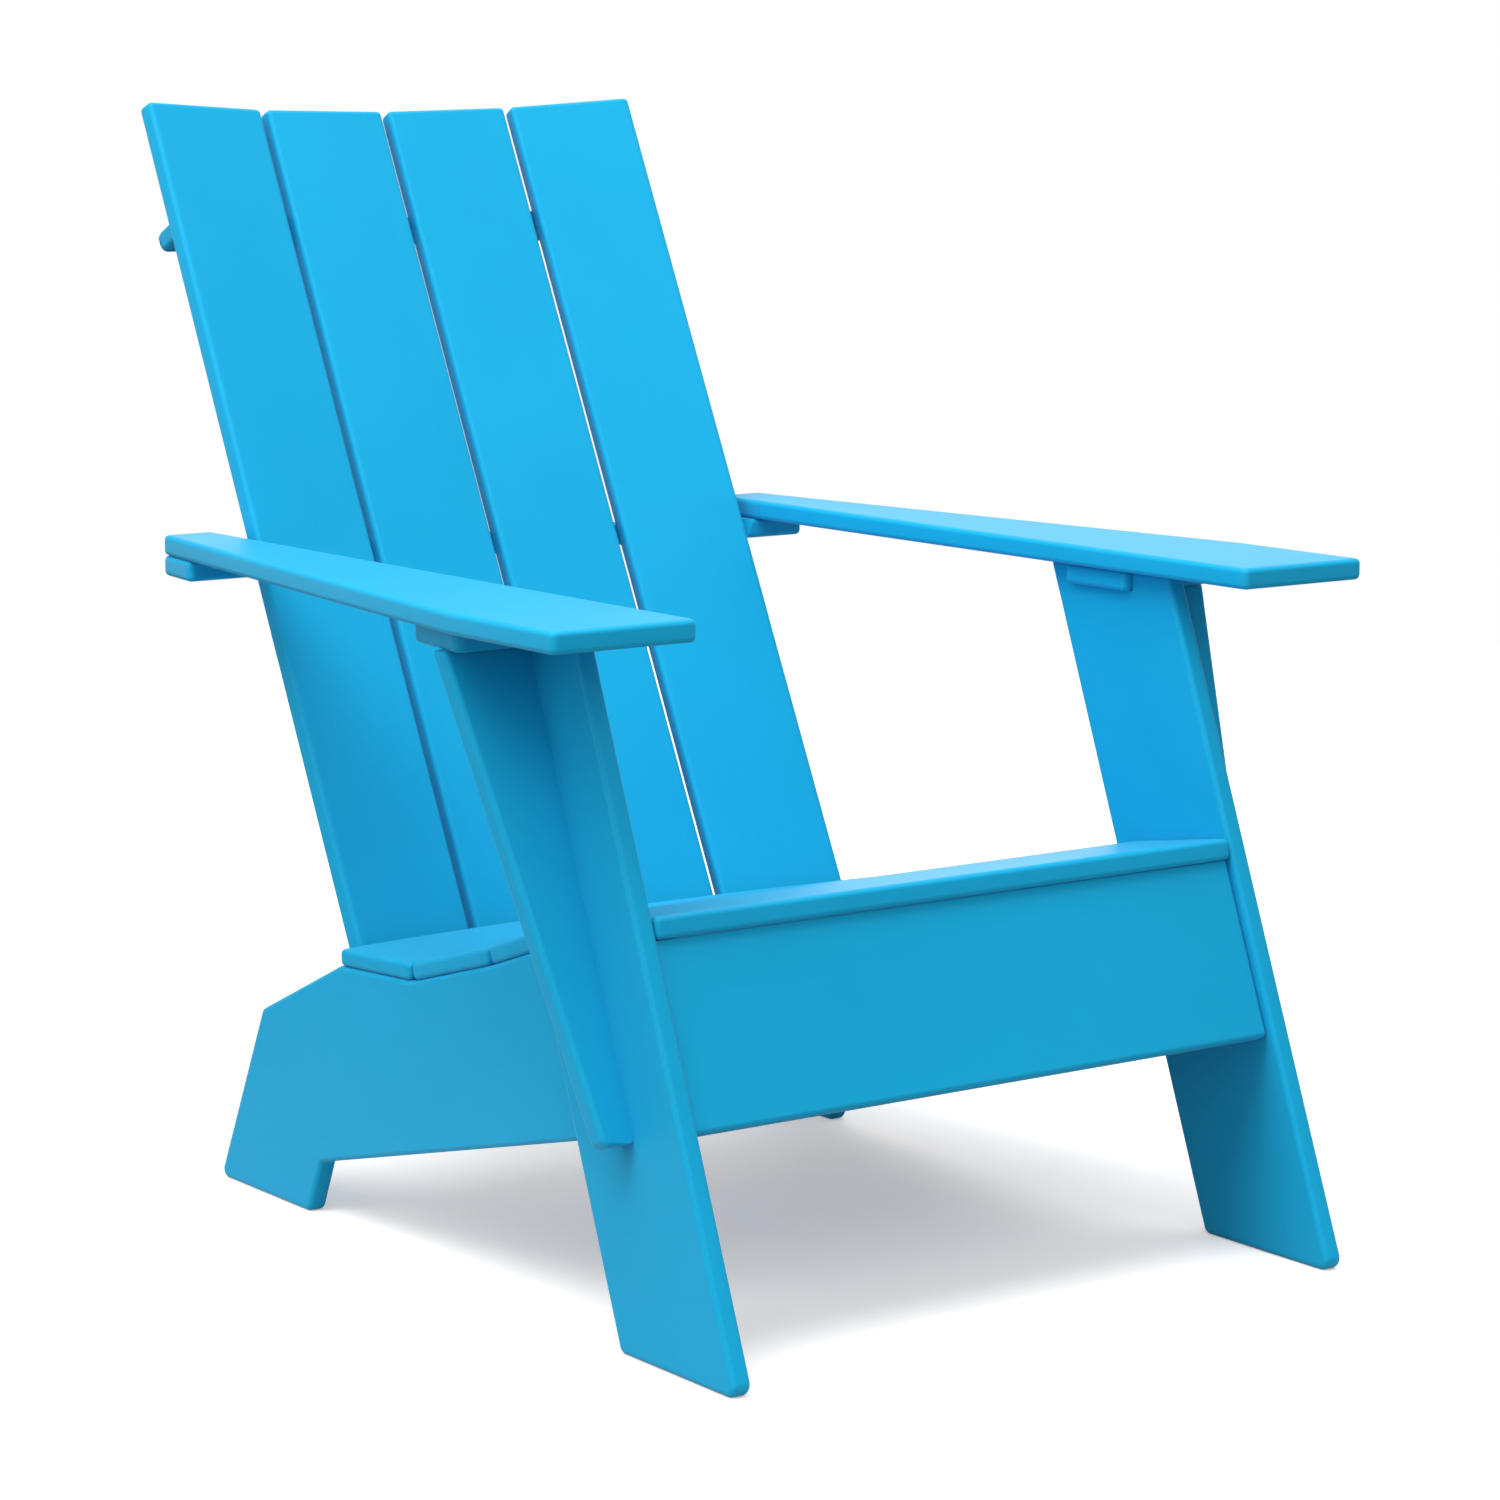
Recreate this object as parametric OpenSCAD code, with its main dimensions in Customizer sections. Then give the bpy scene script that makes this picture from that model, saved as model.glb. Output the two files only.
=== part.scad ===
// Adirondack chair built up from flat plastic-lumber boards.
// Origin on the floor, in the middle of the chair's length and width.
// The chair faces -Y, +Z is up, and +X is the right-hand side seen from the front.

/* [Boards] */
// thickness of the frame, arm, back and brace boards
board_t = 19; // [16:0.5:25]
// thickness of the three rear seat slats
slat_t = 16; // [12:0.5:22]
// inside width between the two front legs
leg_gap = 619.4; // [500:0.2:720]

/* [Front legs] */
// slope of the front legs, rearward travel per unit of height
leg_slope = 0.385; // [0.2:0.005:0.5]
// length of a front leg's foot along the floor
leg_foot = 164.5; // [110:0.5:200]
// height of the underside of the arms
arm_under = 592.7; // [520:0.1:680]
// rounding of a front leg's toe
toe_r = 10; // [4:1:20]
// rounding of a heel or of a rail's corner
heel_r = 8; // [3:1:16]

/* [Seat] */
// distance of the front slat's lower front edge behind the toes
seat_y = 135.5; // [100:0.5:160]
// height of the front slat's lower front edge
seat_z = 348.2; // [300:0.1:420]
// width of a seat slat
seat_w = 127; // [90:1:160]
// gap between two seat slats
seat_gap = 6; // [3:0.5:12]
// length of the seat slats
seat_l = 618; // [500:1:718]
// downward slope of the front slat
dip_1 = 9.2; // [0:0.1:20]
// downward slope of the second slat
dip_2 = 18.8; // [5:0.1:30]
// downward slope of the third slat
dip_3 = 15.7; // [5:0.1:30]
// downward slope of the rear slat
dip_4 = 3.3; // [0:0.1:15]
// radius of the curved rear edge of the rear slat
rear_curve = 2030; // [1200:10:4000]

/* [Side rails] */
// slope of a rail's lower edge, fall per unit of rearward travel
rail_fall = 0.25; // [0.15:0.005:0.35]
// height of the lower edge's line where it would meet the toes
rail_low = 221.5; // [180:0.1:260]
// front corner of the rear foot, behind the toes
foot_y0 = 703.5; // [640:0.5:740]
// rear corner of the rear foot, behind the toes
foot_y1 = 869.5; // [800:0.1:920]
// top of the rear foot's sloping back edge, behind the toes
hump_y = 784.3; // [720:0.1:840]
// height of the top of that back edge
hump_z = 177; // [160:1:200]
// how far the apron is set back from the legs' front edges
apron_in = 7.1; // [0:0.1:20]
// lower edge of the apron, as a height on the legs' front edges
apron_z = 199.5; // [160:0.5:240]
// height of the apron board measured along its slope
apron_h = 160.5; // [120:0.5:160.5]

/* [Arms] */
// front end of the arms, behind the toes
arm_y0 = 103.5; // [60:0.5:160]
// rear end of the arms, behind the toes
arm_y1 = 896.5; // [820:0.5:960]
// half the outside width across the arms at the front
arm_x0 = 430; // [380:1:470]
// half the outside width across the arms at the rear end
arm_x1 = 342; // [310:1:400]
// where the arms begin to taper, behind the toes
arm_bend = 259.5; // [180:0.5:400]
// rounding of the arms' corners
arm_r = 6; // [6:1:25]
// how far the arm bracket stands out at its top
bracket_top = 77; // [50:1:95]
// how far the arm bracket stands out at its lower end
bracket_low = 29.5; // [15:0.5:50]
// lower end of the arm bracket, along the leg's slope
bracket_z = 221; // [160:1:320]

/* [Back] */
// recline of the back from upright
recline = 26; // [15:0.5:35]
// where the back's front plane would meet the floor, behind the toes
back_y = 568.5; // [500:0.5:640]
// width of a back slat
back_w = 132.5; // [100:0.5:160]
// gap between two back slats
back_gap = 7.6; // [4:0.1:16]
// length of a back slat
back_l = 914; // [760:1:1000]
// top of the back slats along their slope
back_top = 1110.5; // [950:0.5:1250]
// angle between neighbouring back slats
fan = 5.6; // [0:0.1:10]
// rear edge of the back braces, behind the back's front plane
brace_y = 47; // [40:1:70]
// underside of the upper brace along the slats
upper_z = 986; // [850:1:1060]
// half the length of the upper brace
upper_x = 259; // [230:1:275]
// underside of the lower brace along the slats
lower_z = 214; // [205:1:240]
// front edge of the arm crossbar, behind the toes
bar_y0 = 832.5; // [800:0.5:850]

/* [Screws] */
// radius of a screw's shank
shank_r = 2.1; // [1.5:0.1:2.6]
// radius of a screw's head
head_r = 4.1; // [3:0.1:4.2]
// height of a screw's head
head_h = 3; // [2:0.1:4]
// radius of a screw's hole
hole_r = 2.2; // [2.15:0.05:2.7]
// radius of the counterbore for a screw's head
bore_r = 4.5; // [4.3:0.1:5]

/* [Hidden] */
$fn = 48;
eps = 0.01;
lean = atan(leg_slope);
leg_x = leg_gap / 2;
rail_x = leg_x - board_t;
leg_top = leg_slope * arm_under;
bar_z = arm_under - board_t;
pitch = seat_w + seat_gap;
dips = [dip_1, dip_2, dip_3, dip_4];
// joints of the seat's facets along the top of a rail, front to rear
v0 = [seat_y, seat_z];
v1 = v0 + (seat_w + seat_gap / 2) * [cos(dip_1), -sin(dip_1)];
v2 = v1 + pitch * [cos(dip_2), -sin(dip_2)];
v3 = v2 + pitch * [cos(dip_3), -sin(dip_3)];
v4 = v3 + (seat_w - 2) * [cos(dip_4), -sin(dip_4)];
starts = [v0, v1, v2, v3];
// plane of the apron's back, square to the legs' slope and along the floor
apron_back = apron_in + board_t;
apron_off = apron_back / cos(lean);
apron_s = apron_z / cos(lean);
top_slope = (v0[1] - v1[1]) / (v1[0] - v0[0]);
rail_top_z = (v0[1] + top_slope * (v0[0] - apron_off)) / (1 + top_slope * leg_slope);
rail_top = [leg_slope * rail_top_z + apron_off, rail_top_z];
rail_nose_z = (rail_low - rail_fall * apron_off) / (1 + rail_fall * leg_slope);
rail_nose = [leg_slope * rail_nose_z + apron_off, rail_nose_z];
foot_slope = 0.441;
arch_z = (rail_low - rail_fall * foot_y0) / (1 - rail_fall * foot_slope);
arch = [foot_y0 - foot_slope * arch_z, arch_z];
// cleat let into the top of a leg
cleat_y0 = 275.5;
cleat_y1 = 360.5;
cleat_x0 = leg_x - 9;
cleat_x1 = leg_x + 100.3;
cleat_x2 = leg_x + 89.3;
fit = 0.2;
// ledger strip under the seat slats
ledger_h = 38;
ledger_seat = 26;
// plan of the back slats, in the plane square to them
half_a = fan / 2;
outer_a = 1.5 * fan;
a_in = [back_gap / 2, 0];
b_in = a_in + back_w * [cos(half_a), -sin(half_a)];
a_out = b_in + back_gap * [cos(fan), -sin(fan)];
b_out = a_out + back_w * [cos(outer_a), -sin(outer_a)];
rear_in = a_in + board_t * [sin(half_a), cos(half_a)];
rear_out = a_out + board_t * [sin(outer_a), cos(outer_a)];
crown = rear_in[1] + rear_in[0] * tan(half_a);
dx = rear_out[1] + rear_out[0] * tan(outer_a) - crown;
knee_x = dx / (tan(outer_a) - tan(half_a));
knee = [knee_x, crown - knee_x * tan(half_a)];
function rear_face(x) = knee[1] - (x - knee_x) * tan(outer_a);
edge_x = b_out[0] + board_t * sin(outer_a);
// screw places across a back slat
rows = [0.26, 0.74];
seat_depth = 24;
back_screw = 36;
bar_seat = 18;
bar_screw = 32;
bar_mid = bar_z + board_t / 2;
// foremost point of the rounded toes and rearmost point of the back's top
front_end = toe_r * (1 / cos(lean) + leg_slope - 1);
rear_end = back_y + back_top * sin(recline) + rear_in[1] * cos(recline);
lumber = [0.16, 0.62, 0.86];
lumber_arm = [0.20, 0.66, 0.88];
steel = [0.72, 0.73, 0.75];

// ---- helpers ----

// moves a shape from the toes' frame to the chair's frame
module place() {
    translate([0, -(front_end + rear_end) / 2, 0]) children();
}

// draws a shape on one side: 1 for the right, -1 for the left
module side(s) {
    if (s > 0) children();
    else mirror([1, 0, 0]) children();
}

module both() {
    children();
    mirror([1, 0, 0]) children();
}

// unit vector
function unit(v) = v / norm(v);
// half the angle at corner b between its neighbours
function half_angle(a, b, c) = acos(unit(a - b) * unit(c - b)) / 2;
// points where a rounding of radius r touches the two edges at b
function touch(a, b, c, r) = r == 0 ? [b] : let (d = abs(r) / tan(half_angle(a, b, c)))
    [b + d * unit(a - b), b + d * unit(c - b)];
function centre(a, b, c, r) = b + abs(r) / sin(half_angle(a, b, c))
    * unit(unit(a - b) + unit(c - b));

// outline with rounded corners: a negative radius fills an inside corner
module outline(pts, rad) {
    n = len(pts);
    difference() {
        union() {
            polygon([for (i = [0 : n - 1])
                each touch(pts[(i + n - 1) % n], pts[i], pts[(i + 1) % n], rad[i])]);
            for (i = [0 : n - 1])
                if (rad[i] > 0)
                    translate(centre(pts[(i + n - 1) % n], pts[i], pts[(i + 1) % n], rad[i]))
                        circle(r = rad[i]);
        }
        for (i = [0 : n - 1])
            if (rad[i] < 0)
                translate(centre(pts[(i + n - 1) % n], pts[i], pts[(i + 1) % n], rad[i]))
                    circle(r = -rad[i]);
    }
}

// stands an outline drawn in length and height upright, from x outwards
module upright(x, t) {
    translate([x, 0, 0]) rotate([90, 0, 90]) linear_extrude(t) children();
}

// frame that leans back with the front legs
module leaning() {
    rotate([-lean, 0, 0]) children();
}

// frame of the back: z along the slats, y towards the rear
module reclined() {
    translate([0, back_y, 0]) rotate([-recline, 0, 0]) children();
}

// frame of seat slat i: y along the slat's width, z out of its face
module on_seat(i) {
    translate([0, starts[i][0], starts[i][1]]) rotate([-dips[i], 0, 0]) children();
}

// frame of a right-hand back slat inside the back's frame: 0 inner, 1 outer
module on_back(k) {
    p = k == 0 ? a_in : a_out;
    translate([p[0], p[1], 0]) rotate([0, 0, k == 0 ? -half_a : -outer_a]) children();
}

// screw with its head's seat at the origin and its point downwards
module screw(l) {
    difference() {
        union() {
            translate([0, 0, -l]) cylinder(r = shank_r, h = l + eps);
            cylinder(r = head_r, h = head_h * 0.6);
            translate([0, 0, head_h * 0.6 - eps])
                cylinder(r1 = head_r, r2 = head_r * 0.72, h = head_h * 0.4);
        }
        translate([0, 0, head_h * 0.4]) cylinder(r = head_r * 0.38, h = head_h, $fn = 6);
    }
}

// hole for that screw, with its counterbore open for a length of b
module hole(l, b) {
    translate([0, 0, -l - 0.5]) cylinder(r = hole_r, h = l + 0.5 + eps);
    cylinder(r = bore_r, h = b);
}

// ---- screw places ----

module upper_places(k) {
    for (f = rows)
        translate([f * back_w, board_t + seat_depth, upper_z + board_t / 2])
            rotate([-90, 0, 0]) children();
}

module lower_places(k) {
    for (f = rows)
        translate([f * back_w, board_t + seat_depth, lower_z + board_t / 2])
            rotate([-90, 0, 0]) children();
}

// horizontal screws of the crossbar into slat k, in the toes' frame
module bar_places(k) {
    p = k == 0 ? a_in : a_out;
    a = k == 0 ? half_a : outer_a;
    for (f = rows) {
        q = p + f * back_w * [cos(a), -sin(a)] + board_t * [sin(a), cos(a)];
        y = back_y + bar_mid * tan(recline) + q[1] / cos(recline);
        translate([q[0], y + bar_seat, bar_mid]) rotate([-90, 0, 0]) children();
    }
}

// screws up through a ledger into slat i, right-hand side
module seat_places(i) {
    for (y = i == 0 ? [52, 108] : i == 3 ? [22, 88] : [30, 103])
        on_seat(i) translate([leg_x - 1.5 * board_t, y, -ledger_seat])
            rotate([180, 0, 0]) children();
}

module ledger_places() {
    for (p = [[v1[0] - 60, v1[1] - 9], [v1[0] + 66, v1[1] - 44],
            [v2[0] + 66, v2[1] - 38], [v3[0] + 55, v3[1] - 24]])
        translate([rail_x - board_t + 4, p[0], p[1]]) rotate([0, -90, 0]) children();
}

// short screws through a rail into a leg
module leg_places() {
    for (p = [[209, 190], [244, 272]])
        translate([rail_x, p[0], p[1]]) rotate([0, -90, 0]) children();
}

// long screws through a rail and a leg into the bracket's inner edge
module bracket_places() {
    for (z = [212, 278])
        translate([rail_x + 4, leg_slope * z + leg_foot / 2, z]) rotate([0, -90, 0]) children();
}

// screw down through the cleat into the bracket's top end
module bracket_top_places() {
    y = leg_foot / 2 * cos(lean);
    leaning() translate([leg_x + 60, y, (bar_z + 11 + y * sin(lean)) / cos(lean)]) children();
}

// screws up through the cleat and the crossbar into an arm
module arm_places() {
    for (p = [[371, 286], [371, 339.5], [306, 854.5], [322, 878.5]])
        translate([p[0], p[1], bar_z + 6]) rotate([180, 0, 0]) children();
}

// corner block behind the apron: two screws into the apron, two into the rail
module apron_block_places(into_rail) {
    for (z = [apron_s + 22, apron_s + 84])
        leaning()
            if (into_rail)
                translate([rail_x - 25, apron_back + 20, z]) rotate([0, -90, 0]) children();
            else
                translate([rail_x - 11, apron_back + 25, z + 16]) rotate([-90, 0, 0]) children();
}

// block under the lower brace: two screws into the brace, two into the rail
module brace_block_places(into_rail) {
    for (y = into_rail ? [10, 38] : [18.5, 29.5])
        reclined()
            if (into_rail)
                translate([rail_x - 25, y, lower_z - 20]) rotate([0, -90, 0]) children();
            else
                translate([rail_x - 12, y, lower_z - 24]) rotate([180, 0, 0]) children();
}

// ---- frame ----

// front leg, notched at the top for the cleat
module leg(s) {
    h = arm_under;
    color(lumber) place() side(s) difference() {
        upright(leg_x, board_t)
            outline([[0, 0], [leg_foot, 0], [leg_foot + leg_top, h], [leg_top, h]],
                [toe_r, heel_r, 0, 0]);
        translate([leg_x - 1, cleat_y0 - fit, bar_z])
            cube([board_t + 2, cleat_y1 - cleat_y0 + 2 * fit, board_t + 1]);
        leg_places() hole(34, 10);
        bracket_places() hole(60, 10);
    }
}

// side rail: carries the seat and ends in the rear foot
module side_rail(s) {
    color(lumber) place() side(s) difference() {
        upright(rail_x, board_t)
            outline([rail_nose, arch, [foot_y0, 0], [foot_y1, 0], [hump_y, hump_z],
                v4, v3, v2, v1, rail_top],
                [0, -heel_r, heel_r, heel_r, heel_r, 0, 0, 0, 0, 0]);
        ledger_places() hole(31, 1);
        leg_places() hole(34, 10);
        bracket_places() hole(60, 10);
        apron_block_places(true) hole(36, 1);
        brace_block_places(true) hole(36, 1);
    }
}

// board across the front, between the legs
module front_apron() {
    color(lumber) place() difference() {
        leaning() translate([-leg_x + 0.3, apron_in, apron_s])
            cube([leg_gap - 0.6, board_t, apron_h]);
        both() apron_block_places(false) hole(36, 1);
    }
}

// seat slat i, 0 at the front: the front one is of the thicker board
module seat_slat(i) {
    t = i == 0 ? board_t : slat_t;
    y = i == 0 ? 0 : seat_gap / 2;
    color(lumber_arm) place() difference() {
        on_seat(i)
            if (i < 3)
                translate([-seat_l / 2, y, 0]) cube([seat_l, seat_w, t]);
            else
                linear_extrude(t) intersection() {
                    translate([-seat_l / 2, y]) square([seat_l, seat_w + 20]);
                    translate([0, seat_w + 19.8 - rear_curve]) circle(r = rear_curve, $fn = 960);
                }
        both() seat_places(i) hole(36, 1);
    }
}

// strip along a rail's inner face, cut to the same curve, that carries the slats
module seat_ledger(s) {
    drop = [0, -ledger_h];
    front = rail_top + [1, -top_slope];
    back = v4 - 12 * [cos(dip_4), -sin(dip_4)];
    color(lumber) place() side(s) difference() {
        upright(rail_x - board_t, board_t)
            polygon([front, v1, v2, v3, back, back + drop, v3 + drop, v2 + drop,
                v1 + drop, front + drop]);
        for (i = [0 : 3]) seat_places(i) hole(36, 30);
        ledger_places() hole(31, 6);
    }
}

// square corner block behind each end of the apron
module apron_blocks() {
    color(lumber) place() both() difference() {
        leaning() translate([rail_x - 29, apron_back, apron_s + 8]) cube([29, 30, 104]);
        apron_block_places(false) hole(36, 12);
        apron_block_places(true) hole(36, 12);
    }
}

// block under each end of the lower brace
module brace_blocks() {
    color(lumber) place() both() difference() {
        reclined() translate([rail_x - 29, 2, lower_z - 30]) cube([29, 45, 30]);
        brace_block_places(false) hole(36, 12);
        brace_block_places(true) hole(36, 12);
    }
}

// ---- back ----

// back slats 1 to 4, left to right
module back_slat(n) {
    k = n == 1 || n == 4 ? 1 : 0;
    color(lumber) place() side(n > 2 ? 1 : -1) difference() {
        reclined() on_back(k) difference() {
            translate([0, 0, back_top - back_l]) cube([back_w, board_t, back_l]);
            upper_places(k) hole(back_screw, 1);
            lower_places(k) hole(back_screw, 1);
        }
        bar_places(k) hole(bar_screw, 1);
    }
}

// right half of a brace's outline that fits the rear faces of the slats
module brace_half(x, r) {
    outline([[0, brace_y], [0, crown], knee, [x, rear_face(x)], [x, brace_y]],
        [0, 0, 0, 6, r]);
}

module brace_screw_holes(b) {
    for (k = [0, 1]) on_back(k)
        if (b) upper_places(k) hole(back_screw, 40);
        else lower_places(k) hole(back_screw, 40);
}

module upper_brace() {
    color(lumber) place() reclined() difference() {
        translate([0, 0, upper_z]) linear_extrude(board_t) {
            brace_half(upper_x, arm_r);
            mirror([1, 0]) brace_half(upper_x, arm_r);
        }
        both() brace_screw_holes(true);
    }
}

module lower_brace() {
    color(lumber) place() difference() {
        reclined() difference() {
            translate([0, 0, lower_z]) linear_extrude(board_t) {
                brace_half(rail_x - fit, 6);
                mirror([1, 0]) brace_half(rail_x - fit, 6);
            }
            both() brace_screw_holes(false);
        }
        both() brace_block_places(false) hole(36, 1);
    }
}

// board across under the arms' rear ends, recessed for the back slats
module arm_crossbar() {
    x0 = arm_x1 + (arm_y1 - bar_y0) * (arm_x0 - arm_x1) / (arm_y1 - arm_bend);
    color(lumber) place() difference() {
        translate([0, 0, bar_z]) linear_extrude(board_t)
            outline([[-x0, bar_y0], [x0, bar_y0], [arm_x1, arm_y1], [-arm_x1, arm_y1]],
                [6, 6, 6, 6]);
        reclined() translate([0, 0, 600]) linear_extrude(120)
            polygon([[-306, -45], [306, -45], [edge_x + 1, rear_face(edge_x + 1)], knee,
                [0, crown], [-knee[0], knee[1]], [-edge_x - 1, rear_face(edge_x + 1)]]);
        both() for (k = [0, 1]) bar_places(k) hole(bar_screw, 50);
        both() arm_places() hole(25, 10);
    }
}

// ---- arms ----

module arm(s) {
    color(lumber_arm) place() side(s) difference() {
        translate([0, 0, arm_under]) linear_extrude(board_t)
            outline([[rail_x, arm_y0], [arm_x0, arm_y0], [arm_x0, arm_bend],
                [arm_x1, arm_y1], [rail_x, arm_y1]],
                [arm_r, arm_r, 0, 6, 6]);
        arm_places() hole(25, 1);
    }
}

// tapered fin on a leg's outer face that props up the arm
module arm_bracket(s) {
    y = leg_foot / 2 * cos(lean);
    x = leg_x + board_t;
    top = 660;
    grow = (bracket_top - bracket_low) / (600 - bracket_z);
    color(lumber) place() side(s) difference() {
        leaning() translate([0, y + board_t / 2, 0]) rotate([90, 0, 0]) linear_extrude(board_t)
            outline([[x, bracket_z], [x + bracket_low, bracket_z],
                [x + bracket_low + grow * (top - bracket_z), top], [x, top]],
                [4, 8, 0, 0]);
        translate([x - 1, 100, bar_z]) cube([200, 400, 100]);
        bracket_places() hole(60, 1);
        bracket_top_places() hole(45, 1);
    }
}

// flat cleat let into the leg's top, between bracket and arm
module arm_cleat(s) {
    color(lumber) place() side(s) difference() {
        translate([0, 0, bar_z]) linear_extrude(board_t)
            outline([[cleat_x0, cleat_y0], [cleat_x1, cleat_y0], [cleat_x2, cleat_y1],
                [cleat_x0, cleat_y1]],
                [6, 8, 8, 6]);
        arm_places() hole(25, 10);
        bracket_top_places() hole(45, 12);
    }
}

// ---- screws ----

module upper_brace_screws() {
    color(steel) place() both() reclined() for (k = [0, 1]) on_back(k)
        upper_places(k) screw(back_screw);
}

module lower_brace_screws() {
    color(steel) place() both() reclined() for (k = [0, 1]) on_back(k)
        lower_places(k) screw(back_screw);
}

module crossbar_screws() {
    color(steel) place() both() for (k = [0, 1]) bar_places(k) screw(bar_screw);
}

module seat_screws() {
    color(steel) place() both() for (i = [0 : 3]) seat_places(i) screw(36);
}

module ledger_screws() {
    color(steel) place() both() ledger_places() screw(31);
}

module leg_screws() {
    color(steel) place() both() leg_places() screw(34);
}

module bracket_screws() {
    color(steel) place() both() bracket_places() screw(60);
}

module bracket_top_screws() {
    color(steel) place() both() bracket_top_places() screw(45);
}

module arm_screws() {
    color(steel) place() both() arm_places() screw(25);
}

module apron_block_screws() {
    color(steel) place() both() for (b = [true, false]) apron_block_places(b) screw(36);
}

module brace_block_screws() {
    color(steel) place() both() for (b = [true, false]) brace_block_places(b) screw(36);
}

leg(-1);  // leg_left
leg(1);  // leg_right
side_rail(-1);  // side_rail_left
side_rail(1);  // side_rail_right
front_apron();
seat_slat(0);  // seat_slat_1
seat_slat(1);  // seat_slat_2
seat_slat(2);  // seat_slat_3
seat_slat(3);  // seat_slat_4
back_slat(1);  // back_slat_1
back_slat(2);  // back_slat_2
back_slat(3);  // back_slat_3
back_slat(4);  // back_slat_4
upper_brace();
arm_crossbar();
lower_brace();
arm(-1);  // arm_left
arm(1);  // arm_right
arm_bracket(-1);  // arm_bracket_left
arm_bracket(1);  // arm_bracket_right
arm_cleat(-1);  // arm_cleat_left
arm_cleat(1);  // arm_cleat_right
seat_ledger(-1);  // seat_ledger_left
seat_ledger(1);  // seat_ledger_right
apron_blocks();
brace_blocks();
upper_brace_screws();
crossbar_screws();
lower_brace_screws();
seat_screws();
ledger_screws();
leg_screws();
bracket_screws();
bracket_top_screws();
arm_screws();
apron_block_screws();
brace_block_screws();
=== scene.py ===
import math

import bmesh
import bpy
import numpy as np
from mathutils import Matrix, Vector


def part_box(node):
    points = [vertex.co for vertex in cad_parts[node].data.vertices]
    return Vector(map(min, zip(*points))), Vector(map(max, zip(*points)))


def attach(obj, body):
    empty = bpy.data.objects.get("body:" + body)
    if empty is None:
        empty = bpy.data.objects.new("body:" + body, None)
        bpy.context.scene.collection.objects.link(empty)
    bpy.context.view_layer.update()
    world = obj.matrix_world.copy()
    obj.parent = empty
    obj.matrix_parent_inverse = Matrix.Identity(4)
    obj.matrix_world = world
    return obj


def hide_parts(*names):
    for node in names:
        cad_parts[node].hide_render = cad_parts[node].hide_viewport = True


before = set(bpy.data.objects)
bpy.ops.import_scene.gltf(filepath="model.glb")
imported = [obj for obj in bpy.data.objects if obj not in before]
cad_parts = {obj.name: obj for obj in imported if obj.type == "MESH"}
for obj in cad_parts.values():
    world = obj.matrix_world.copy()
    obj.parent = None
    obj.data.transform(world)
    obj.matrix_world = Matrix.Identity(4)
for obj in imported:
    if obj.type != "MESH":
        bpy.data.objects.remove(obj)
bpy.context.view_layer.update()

# ---- sizes, in metres ----

EDGE = 0.0048  # round-over on the long boards' edges
SMALL_EDGE = 0.003  # round-over on the blocks and ledgers
EDGE_STEPS = 5  # strips across a round-over
SHARP = math.radians(35)  # two faces that meet at more than this make an edge
NOTCH_ROOM = 0.012  # a notch's edges lie this close to the pieces it is cut for
WELD = 1e-5  # points closer than this are one point
SAME_PLANE = 3e-6  # a face this close to a flat region's plane belongs to the region
SAME_TURN = 0.9  # unless it turns away by more than this, as a cosine
SLIVER = 1e-10  # area below which a face's direction means nothing, in square metres
PAST_RIM = 0.001  # how far a hole's cutter stands out of the board
GRAIN_SHIFT = (1.7, 0.9, 0.4)  # moves the grain on from one board to the next

HEAD_R = 0.0041  # screw head
HEAD_H = 0.003
HEAD_SIDE = 0.0011  # height at which the head's side turns into its dome
HEAD_CHAMFER = 0.0003
SHANK_R = 0.0021
FILLET = 0.0002  # between the shank and the head, and round the socket's rim
ON_HEAD = SHANK_R * 1.3  # a point further than this from the axis is on the head
TIP_R = 0.0004
TIP_H = 0.004
SOCKET_R = 0.0017
SOCKET_DEPTH = 0.0016
SOCKET_CONE = 0.0004  # depth of the cone in the socket's floor
SOCKET_LIP = 0.0006  # flat ring round the socket
ROUND = 24  # points round a screw

BOARDS = [
    "leg_left", "leg_right", "side_rail_left", "side_rail_right", "front_apron",
    "seat_slat_1", "seat_slat_2", "seat_slat_3", "seat_slat_4",
    "back_slat_1", "back_slat_2", "back_slat_3", "back_slat_4",
    "upper_brace", "arm_crossbar", "lower_brace", "arm_left", "arm_right",
    "arm_bracket_left", "arm_bracket_right", "arm_cleat_left", "arm_cleat_right",
]
SMALL_BOARDS = ["seat_ledger_left", "seat_ledger_right", "apron_blocks", "brace_blocks"]
SCREWS = [
    "upper_brace_screws", "crossbar_screws", "lower_brace_screws", "seat_screws",
    "ledger_screws", "leg_screws", "bracket_screws", "bracket_top_screws", "arm_screws",
    "apron_block_screws", "brace_block_screws",
]
# edges of a notch stay square: board -> the pieces that the notch is cut for
NOTCHES = {
    "leg_left": ["arm_cleat_left"],
    "leg_right": ["arm_cleat_right"],
    "arm_crossbar": ["back_slat_1", "back_slat_4"],
    "arm_bracket_left": ["leg_left"],
    "arm_bracket_right": ["leg_right"],
    "front_apron": ["seat_slat_1"],
}


# ---- colours, linear ----

LUMBER_DARK = (0.0050, 0.362, 0.640)
LUMBER_LIGHT = (0.0065, 0.385, 0.675)
LUMBER_STREAK = (0.008, 0.405, 0.665)
LUMBER_EDGE = (0.016, 0.44, 0.70)
STEEL_DARK = (0.60, 0.61, 0.63)
STEEL_LIGHT = (0.70, 0.71, 0.73)
FLOOR_DARK = (0.86, 0.86, 0.86)
FLOOR_LIGHT = (0.88, 0.88, 0.88)
FLOOR_EMISSION = (1, 0.92, 0.85, 1)
FLOOR_GLOW = 0.37
FLOOR_BOUNCE = (0.05, 0.75)  # grey that lights the chair, far from it and under it
BOUNCE_REACH = 1.5  # distance over which that grey fades, in metres

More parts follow.
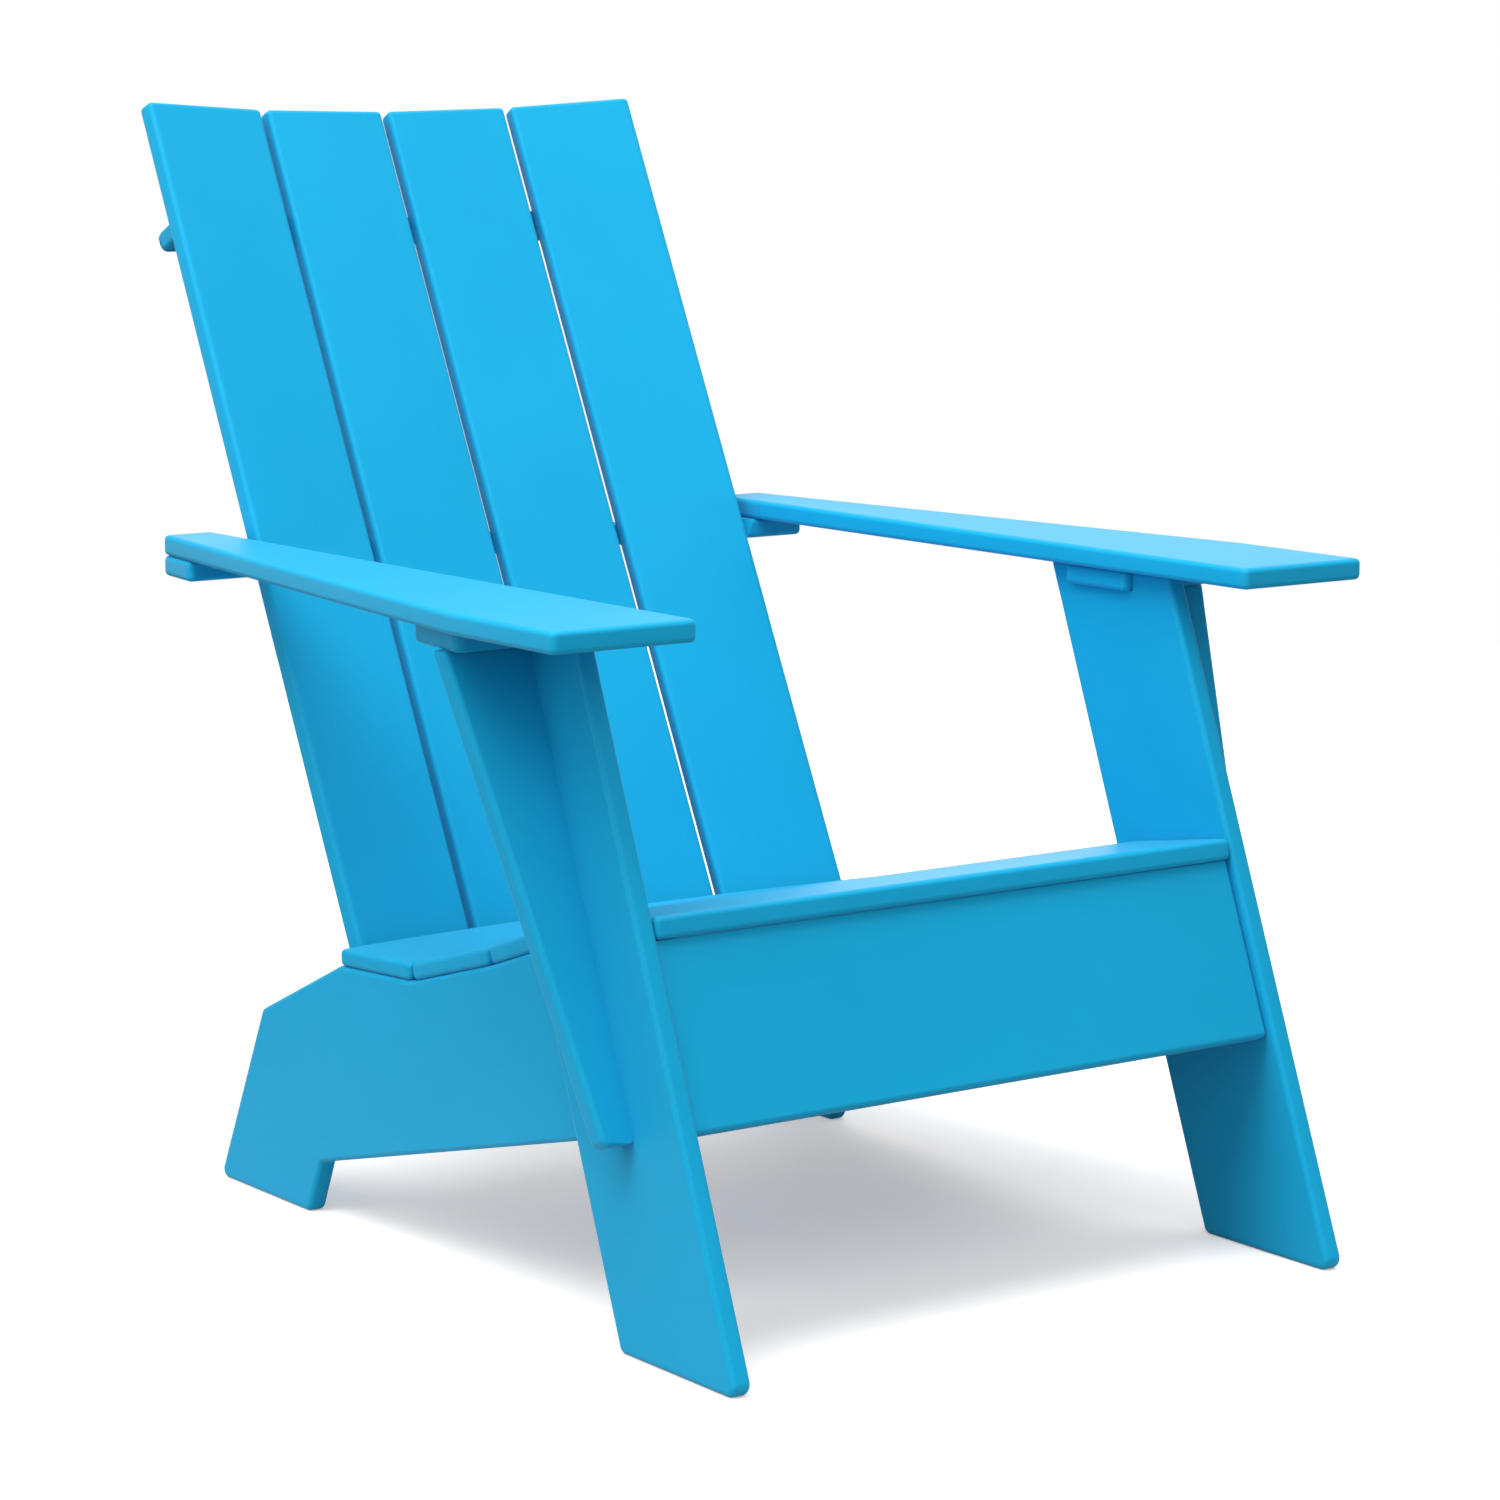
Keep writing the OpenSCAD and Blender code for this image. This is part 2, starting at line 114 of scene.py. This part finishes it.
# ---- camera and studio: metres, degrees, millimetres for the lens and watts ----

LOOK_AT = Vector((0.0416, -0.0437, 0.4251))
CAMERA_AZIMUTH = -35.79
CAMERA_ELEVATION = 9.02
CAMERA_DISTANCE = 4.054
LENS = 106.41
SENSOR = 36
FLOOR_HALF = 3.4
# the dome's brightness: (sine of the elevation, brightness)
DOME = [(-1.0, 1.0), (0.02, 1.0), (0.06, 0.12), (0.4, 0.18), (0.8, 0.75), (1.0, 1.4)]
DOME_TOP = 4  # the brightness that stands for 1 on the dome's curve
# name, azimuth, elevation, distance, diameter, power
SOFTBOXES = [
    ("key_light", -80, 60, 4.5, 3.2, 135),
    ("top_light", 0, 85, 4.5, 3.2, 28),
    ("right_light", 80, 62, 4.5, 3.2, 20),
    ("front_light", -15, 28, 4.5, 3.2, 46),
    ("left_light", -95, 22, 4.5, 3.2, 46),
    ("back_light", 144, 13, 6.5, 4.5, 70),
]


# ---- boards: the CAD shape with its edges rounded over ----


def flat_regions(bm):
    """The mesh's flat regions as lists of faces, and each face's region number."""
    number, groups = {}, []
    for seed in sorted(bm.faces, key=lambda f: -f.calc_area()):
        if seed in number:
            continue
        point = seed.verts[0].co
        group, stack = [], [seed]
        number[seed] = len(groups)
        while stack:
            face = stack.pop()
            group.append(face)
            for other in (f for e in face.edges for f in e.link_faces):
                level = max(abs((v.co - point).dot(seed.normal)) for v in other.verts)
                turned = other.normal.dot(seed.normal) < SAME_TURN
                turned = turned and other.calc_area() > SLIVER
                if other not in number and level < SAME_PLANE and not turned:
                    number[other] = len(groups)
                    stack.append(other)
        groups.append(group)
    return groups, number


def outlines(group, number):
    """A region's closed outlines as lists of loops, the longest first."""
    follow = {}
    for face in group:
        for loop in face.loops:
            if any(number[f] != number[face] for f in loop.edge.link_faces):
                follow[loop.vert] = loop
    found = []
    while follow:
        start = next(iter(follow))
        chain, vert = [], start
        while vert in follow:
            loop = follow.pop(vert)
            chain.append(loop)
            vert = loop.link_loop_next.vert
        found.append(chain)
    return sorted(found, key=lambda c: -extent(c))


def extent(chain):
    """Diagonal of the box round an outline."""
    points = np.array([loop.vert.co for loop in chain])
    return float(np.linalg.norm(points.max(0) - points.min(0)))


def hole_regions(rims, number):
    """Numbers of the regions that line a hole, reached from its rims."""
    barrier = {loop.edge for chain in rims for loop in chain}
    faces = [f for edge in barrier for f in edge.link_faces]
    outside = {number[loop.face] for chain in rims for loop in chain}
    found, stack = set(), [f for f in faces if number[f] not in outside]
    while stack:
        face = stack.pop()
        if face in found:
            continue
        found.add(face)
        stack += [f for e in face.edges if e not in barrier for f in e.link_faces]
    return {number[f] for f in found}


def split_holes(bm):
    """The board with its screw holes filled, and the holes as closed solids."""
    groups, number = flat_regions(bm)
    chains = [outlines(g, number) for g in groups]
    rims = [c for found in chains for c in found[1:]]
    # an inner outline within a hole, such as a counterbore's step, isn't a rim
    holes = hole_regions(rims, number)
    rims = [c for c in rims if number[c[0].face] not in holes]
    holes = hole_regions(rims, number)

    solid = bmesh.new()
    corners = {}
    for i, found in enumerate(chains):
        if i in holes:
            continue
        for loop in found[0]:
            if loop.vert not in corners:
                corners[loop.vert] = solid.verts.new(loop.vert.co)
        solid.faces.new([corners[loop.vert] for loop in found[0]])
    straight = [v for v in solid.verts if len(v.link_edges) == 2]
    bmesh.ops.dissolve_verts(solid, verts=straight)

    cutter = bmesh.new()
    lining = {}
    for chain in rims:
        out = chain[0].face.normal * PAST_RIM
        for loop in chain:
            lining[loop.vert] = cutter.verts.new(loop.vert.co + out)
        cutter.faces.new([lining[loop.vert] for loop in chain])
    for i in sorted(holes):
        for face in groups[i]:
            for v in face.verts:
                if v not in lining:
                    lining[v] = cutter.verts.new(v.co)
            cutter.faces.new([lining[v] for v in face.verts])
    bmesh.ops.recalc_face_normals(cutter, faces=cutter.faces)
    return solid, cutter


def notch_box(name):
    """Lowest and highest corner round the pieces that a board is notched for, if any."""
    boxes = [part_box(n) for n in NOTCHES.get(name, [])]
    if not boxes:
        return None
    low = [min(b[0][i] for b in boxes) - NOTCH_ROOM for i in range(3)]
    high = [max(b[1][i] for b in boxes) + NOTCH_ROOM for i in range(3)]
    return low, high


def round_over(bm, radius, square):
    """Rounds every outside edge, apart from those inside the box `square`, if there is one."""

    def inside(p):
        return square is not None and all(a < x < b for a, x, b in zip(square[0], p, square[1]))

    edges = [
        e for e in bm.edges
        if e.is_convex and e.calc_face_angle(0) > SHARP
        and not all(inside(v.co) for v in e.verts)
    ]
    bmesh.ops.bevel(
        bm, geom=edges, offset=radius, offset_type="OFFSET", segments=EDGE_STEPS,
        profile=0.5, affect="EDGES", clamp_overlap=False,
    )
    flat = 4 * radius * radius  # a face larger than this isn't part of a round-over
    layer = bm.verts.layers.float.new("rounded")
    for v in bm.verts:
        v[layer] = 0.0 if any(f.calc_area() > flat for f in v.link_faces) else 1.0
    big = [f for f in bm.faces if len(f.verts) > 4]
    bmesh.ops.triangulate(bm, faces=big, ngon_method="EAR_CLIP")


def as_object(name, bm):
    mesh = bpy.data.meshes.new(name)
    bm.to_mesh(mesh)
    bm.free()
    made = bpy.data.objects.new(name, mesh)
    bpy.context.scene.collection.objects.link(made)
    return made


def cut(piece, cutter):
    """Cuts the solid `cutter` out of the piece and keeps the result as its mesh."""
    modifier = piece.modifiers.new("holes", "BOOLEAN")
    modifier.operation = "DIFFERENCE"
    modifier.solver = "MANIFOLD"
    modifier.object = cutter
    graph = bpy.context.evaluated_depsgraph_get()
    mesh = bpy.data.meshes.new_from_object(piece.evaluated_get(graph))
    piece.modifiers.clear()
    piece.data = mesh
    bpy.data.objects.remove(cutter)


def add_grain(piece, number):
    """Stores each point's place along, across and through the board, for the material."""
    points = np.array([v.co for v in piece.data.vertices])
    centred = points - points.mean(0)
    axes = np.linalg.svd(centred, full_matrices=False)[2]
    local = centred @ axes.T + np.array(GRAIN_SHIFT) * number
    layer = piece.data.attributes.new("grain", "FLOAT_VECTOR", "POINT")
    layer.data.foreach_set("vector", local.astype(np.float32).ravel())


def soften(piece):
    """Smooth shading that keeps the flats flat and the hole rims crisp."""
    piece.data.polygons.foreach_set("use_smooth", [True] * len(piece.data.polygons))
    piece.data.set_sharp_from_angle(angle=SHARP)
    modifier = piece.modifiers.new("normals", "WEIGHTED_NORMAL")
    modifier.weight = 100
    modifier.keep_sharp = True


def board(name, radius, material, number):
    """Makes the visible board that stands for a CAD node."""
    bm = bmesh.new()
    bm.from_mesh(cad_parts[name].data)
    bmesh.ops.remove_doubles(bm, verts=bm.verts, dist=WELD)
    bmesh.ops.dissolve_degenerate(bm, edges=bm.edges, dist=WELD)
    bm.normal_update()
    solid, cutter = split_holes(bm)
    bm.free()
    solid.normal_update()
    round_over(solid, radius, notch_box(name))
    piece = as_object(name + "_board", solid)
    if cutter.faces:
        cut(piece, as_object("cutter", cutter))
    add_grain(piece, number)
    soften(piece)
    piece.data.materials.clear()
    piece.data.materials.append(material)
    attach(piece, "root")
    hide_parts(name)


# ---- screws ----


def screw_places(name):
    """(foot of the head, direction out of the head, shank length) of a node's screws."""
    bm = bmesh.new()
    bm.from_mesh(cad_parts[name].data)
    bmesh.ops.remove_doubles(bm, verts=bm.verts, dist=WELD)
    left, found = set(bm.verts), []
    while left:
        part, stack = set(), [min(left, key=lambda v: v.index)]
        while stack:
            v = stack.pop()
            if v in part:
                continue
            part.add(v)
            stack += [e.other_vert(v) for e in v.link_edges]
        left -= part
        points = np.array([v.co for v in sorted(part, key=lambda v: v.index)])
        ends = (points.max(0) + points.min(0)) / 2
        axis = np.linalg.svd(points - ends, full_matrices=False)[2][0]
        along = (points - ends) @ axis
        off = np.linalg.norm(points - ends - np.outer(along, axis), axis=1)
        if along[off > ON_HEAD].mean() < 0:
            axis, along = -axis, -along
        middle = points[off > ON_HEAD].mean(0)
        middle += axis * (along.max() - HEAD_H - (middle - ends) @ axis)
        length = float(along.max() - along.min()) - HEAD_H
        found.append((Vector(middle), Vector(axis), length))
    bm.free()
    return found


def screw_rings(length):
    """Rings of a pan-head socket screw: (height, radius, how hexagonal), tip to socket."""
    top, socket_floor = HEAD_H, HEAD_H - SOCKET_DEPTH
    rings = [(-length, TIP_R, 0), (-length + TIP_H, SHANK_R, 0), (-FILLET, SHANK_R, 0)]
    rings += [(0, SHANK_R + FILLET, 0), (0, HEAD_R - HEAD_CHAMFER, 0), (HEAD_CHAMFER, HEAD_R, 0)]
    for angle in range(0, 61, 12):
        a, last = math.radians(angle), math.radians(60)
        rise = math.sin(a) / math.sin(last)
        shrink = (1 - math.cos(a)) * 2
        rings.append((
            HEAD_SIDE + (top - HEAD_SIDE) * rise,
            HEAD_R - (HEAD_R - SOCKET_R - SOCKET_LIP) * shrink,
            0,
        ))
    rings += [(top, SOCKET_R + FILLET, 0.6), (top - FILLET, SOCKET_R, 1)]
    rings += [(socket_floor, SOCKET_R, 1), (socket_floor - SOCKET_CONE, FILLET, 0)]
    return rings


def hexagon(angle):
    """Radius of a hexagon at that angle, as a share of the circle round it."""
    return math.cos(math.pi / 6) / math.cos(angle % (math.pi / 3) - math.pi / 6)


def add_screw(bm, seat, axis, length):
    middling = math.cos(math.pi / 12)  # brings the hexagon's radius to about the ring's
    turn = axis.to_track_quat("Z", "Y").to_matrix().to_4x4()
    place = Matrix.Translation(seat) @ turn
    rows = []
    for height, radius, hexed in screw_rings(length):
        row = []
        for i in range(ROUND):
            a = 2 * math.pi * i / ROUND
            r = radius * (1 + hexed * (hexagon(a) / middling - 1))
            point = Vector((r * math.cos(a), r * math.sin(a), height))
            row.append(bm.verts.new(place @ point))
        rows.append(row)
    for low, high in zip(rows, rows[1:]):
        for i in range(ROUND):
            j = (i + 1) % ROUND
            bm.faces.new((low[i], low[j], high[j], high[i]))
    bm.faces.new(list(reversed(rows[0])))
    bm.faces.new(rows[-1])


def screws(name, material):
    """Makes the visible screws that stand for a CAD node."""
    bm = bmesh.new()
    for seat, axis, length in screw_places(name):
        add_screw(bm, seat, axis, length)
    bm.normal_update()
    piece = as_object(name + "_set", bm)
    soften(piece)
    piece.data.materials.append(material)
    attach(piece, "root")
    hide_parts(name)


# ---- materials ----


class Nodes:
    """Short calls for building the node tree of a material or a world."""

    def __init__(self, owner):
        self.owner = owner
        owner.use_nodes = True
        self.tree = owner.node_tree
        self.shader = self.tree.nodes.get("Principled BSDF") or self.tree.nodes["Background"]

    def set(self, **values):
        """Sets the shader's inputs, named with _ for each space."""
        for key, value in values.items():
            self.shader.inputs[key.replace("_", " ")].default_value = value

    def add(self, kind, **values):
        node = self.tree.nodes.new("ShaderNode" + kind)
        for key, value in values.items():
            setattr(node, key, value)
        return node

    def link(self, out, into):
        self.tree.links.new(out, into)

    def attribute(self, name):
        return self.add("Attribute", attribute_name=name)

    def noise(self, coords, scale, detail=2.0, stretch=(1, 1, 1)):
        mapping = self.add("Mapping")
        mapping.inputs["Scale"].default_value = stretch
        self.link(coords, mapping.inputs["Vector"])
        noise = self.add("TexNoise")
        noise.inputs["Scale"].default_value = scale
        noise.inputs["Detail"].default_value = detail
        self.link(mapping.outputs["Vector"], noise.inputs["Vector"])
        return noise.outputs["Fac"]

    def spread(self, value, low, high, spot=(0.3, 0.7)):
        """Maps a value from the range `spot` to the range low to high."""
        node = self.add("MapRange")
        for key, v in zip(("From Min", "From Max", "To Min", "To Max"), (*spot, low, high)):
            node.inputs[key].default_value = v
        self.link(value, node.inputs["Value"])
        return node.outputs["Result"]

    def blend(self, factor, a, b):
        """A colour between a and b, each of them a colour or an output."""
        node = self.add("Mix", data_type="RGBA")
        self.link(factor, node.inputs["Factor"])
        for value, socket in ((a, node.inputs["A"]), (b, node.inputs["B"])):
            if isinstance(value, bpy.types.NodeSocket):
                self.link(value, socket)
            else:
                socket.default_value = (*value, 1)
        return node.outputs["Result"]

    def bump(self, heights):
        """Stacks (height output, depth in metres) bumps and plugs them into the shader."""
        normal = None
        for height, depth in heights:
            node = self.add("Bump")
            node.inputs["Strength"].default_value = 1.0
            node.inputs["Distance"].default_value = depth
            self.link(height, node.inputs["Height"])
            if normal:
                self.link(normal, node.inputs["Normal"])
            normal = node.outputs["Normal"]
        self.link(normal, self.shader.inputs["Normal"])


def lumber_material():
    """Coloured-through recycled plastic board, satin, with a fine planed texture."""
    n = Nodes(bpy.data.materials.new("sky_blue_lumber"))
    grain = n.attribute("grain").outputs["Vector"]
    edge = n.attribute("rounded").outputs["Fac"]
    clouds = n.noise(grain, scale=5, detail=3)
    streaks = n.noise(grain, scale=420, detail=3, stretch=(0.02, 1, 1))
    specks = n.noise(grain, scale=1900)
    base = n.blend(n.spread(clouds, 0, 1), LUMBER_DARK, LUMBER_LIGHT)
    base = n.blend(n.spread(streaks, 0, 0.22), base, LUMBER_STREAK)
    base = n.blend(n.spread(edge, 0, 0.22, spot=(0, 1)), base, LUMBER_EDGE)
    n.link(base, n.shader.inputs["Base Color"])
    n.link(n.spread(specks, 0.40, 0.52), n.shader.inputs["Roughness"])
    n.set(IOR=1.5, Specular_IOR_Level=0.12, Sheen_Weight=0.1, Sheen_Roughness=0.4)
    n.bump([(specks, 0.00003), (streaks, 0.00002)])
    return n.owner


def steel_material():
    """Plain stainless steel, turned finish."""
    n = Nodes(bpy.data.materials.new("stainless_steel"))
    place = n.add("TexCoord").outputs["Object"]
    fine = n.noise(place, scale=3000)
    base = n.blend(n.spread(fine, 0, 1), STEEL_DARK, STEEL_LIGHT)
    n.link(base, n.shader.inputs["Base Color"])
    n.link(n.spread(fine, 0.26, 0.40), n.shader.inputs["Roughness"])
    n.set(Metallic=1.0)
    n.bump([(fine, 0.00001)])
    return n.owner


def floor_material():
    """White where it is seen, and darker for the light that it throws back on the chair."""
    n = Nodes(bpy.data.materials.new("pale_floor"))
    place = n.add("TexCoord").outputs["Object"]
    fine = n.noise(place, scale=9, detail=3)
    base = n.blend(n.spread(fine, 0, 1), FLOOR_DARK, FLOOR_LIGHT)
    n.link(base, n.shader.inputs["Base Color"])
    n.set(Roughness=0.9, Specular_IOR_Level=0.0)
    n.set(Emission_Color=FLOOR_EMISSION, Emission_Strength=FLOOR_GLOW)

    bounce = n.add("BsdfDiffuse")
    mapping = n.add("Mapping")
    mapping.inputs["Scale"].default_value = (1 / BOUNCE_REACH,) * 3
    near = n.add("TexGradient", gradient_type="SPHERICAL")
    n.link(place, mapping.inputs["Vector"])
    n.link(mapping.outputs["Vector"], near.inputs["Vector"])
    far_grey, near_grey = ((level,) * 3 for level in FLOOR_BOUNCE)
    n.link(n.blend(near.outputs["Fac"], far_grey, near_grey), bounce.inputs["Color"])

    mix = n.add("MixShader")
    n.link(n.add("LightPath").outputs["Is Camera Ray"], mix.inputs["Fac"])
    n.link(bounce.outputs["BSDF"], mix.inputs[1])
    n.link(n.shader.outputs["BSDF"], mix.inputs[2])
    n.link(mix.outputs["Shader"], n.tree.nodes["Material Output"].inputs["Surface"])
    return n.owner


# ---- studio ----


def floor():
    bm = bmesh.new()
    corners = [(-1, -1), (1, -1), (1, 1), (-1, 1)]
    bm.faces.new([bm.verts.new((x * FLOOR_HALF, y * FLOOR_HALF, 0)) for x, y in corners])
    made = as_object("floor", bm)
    made.data.materials.append(floor_material())


def direction(azimuth, elevation):
    """Unit vector towards that azimuth and elevation, seen from the object."""
    a, e = math.radians(azimuth), math.radians(elevation)
    return Vector((math.sin(a) * math.cos(e), -math.cos(a) * math.cos(e), math.sin(e)))


def softbox(name, azimuth, elevation, distance, size, power):
    light = bpy.data.lights.new(name, "AREA")
    light.shape = "DISK"
    light.size = size
    light.energy = power
    lamp = bpy.data.objects.new(name, light)
    towards = direction(azimuth, elevation)
    lamp.location = LOOK_AT + towards * distance
    lamp.rotation_mode = "QUATERNION"
    lamp.rotation_quaternion = towards.to_track_quat("Z", "Y")
    bpy.context.scene.collection.objects.link(lamp)


def dome():
    """White to the camera, and for all other rays as bright as DOME says."""
    n = Nodes(bpy.data.worlds.new("studio"))
    split = n.add("SeparateXYZ")
    n.link(n.add("TexCoord").outputs["Generated"], split.inputs["Vector"])
    curve = n.add("FloatCurve")
    points = curve.mapping.curves[0].points
    for _ in DOME[2:]:
        points.new(0, 0)
    for point, (height, level) in zip(points, DOME):
        point.location = (0.5 + 0.5 * height, level / DOME_TOP)
        point.handle_type = "VECTOR"
    curve.mapping.update()
    # the curve runs from 0 to 1, and the sine from -1 to 1
    half = n.add("Math", operation="MULTIPLY_ADD")
    half.inputs[1].default_value = half.inputs[2].default_value = 0.5
    n.link(split.outputs["Z"], half.inputs[0])
    n.link(half.outputs["Value"], curve.inputs["Value"])
    level = n.add("Math", operation="MULTIPLY")
    level.inputs[1].default_value = DOME_TOP
    n.link(curve.outputs["Value"], level.inputs[0])
    seen = n.add("Mix")
    seen.inputs["B"].default_value = 1.0
    n.link(n.add("LightPath").outputs["Is Camera Ray"], seen.inputs["Factor"])
    n.link(level.outputs["Value"], seen.inputs["A"])
    n.set(Color=(1, 1, 1, 1))
    n.link(seen.outputs["Result"], n.shader.inputs["Strength"])
    bpy.context.scene.world = n.owner


def camera():
    lens = bpy.data.cameras.new("camera")
    lens.lens = LENS
    lens.sensor_width = SENSOR
    made = bpy.data.objects.new("camera", lens)
    back = direction(CAMERA_AZIMUTH, CAMERA_ELEVATION)
    made.location = LOOK_AT + back * CAMERA_DISTANCE
    made.rotation_mode = "QUATERNION"
    made.rotation_quaternion = (-back).to_track_quat("-Z", "Y")
    bpy.context.scene.collection.objects.link(made)
    bpy.context.scene.camera = made
    bpy.context.scene.view_settings.view_transform = "Standard"


# ---- the chair ----

lumber = lumber_material()
steel = steel_material()
for index, node_name in enumerate(BOARDS + SMALL_BOARDS):
    board(node_name, SMALL_EDGE if node_name in SMALL_BOARDS else EDGE, lumber, index)
for node_name in SCREWS:
    screws(node_name, steel)
floor()
dome()
for box in SOFTBOXES:
    softbox(*box)
camera()
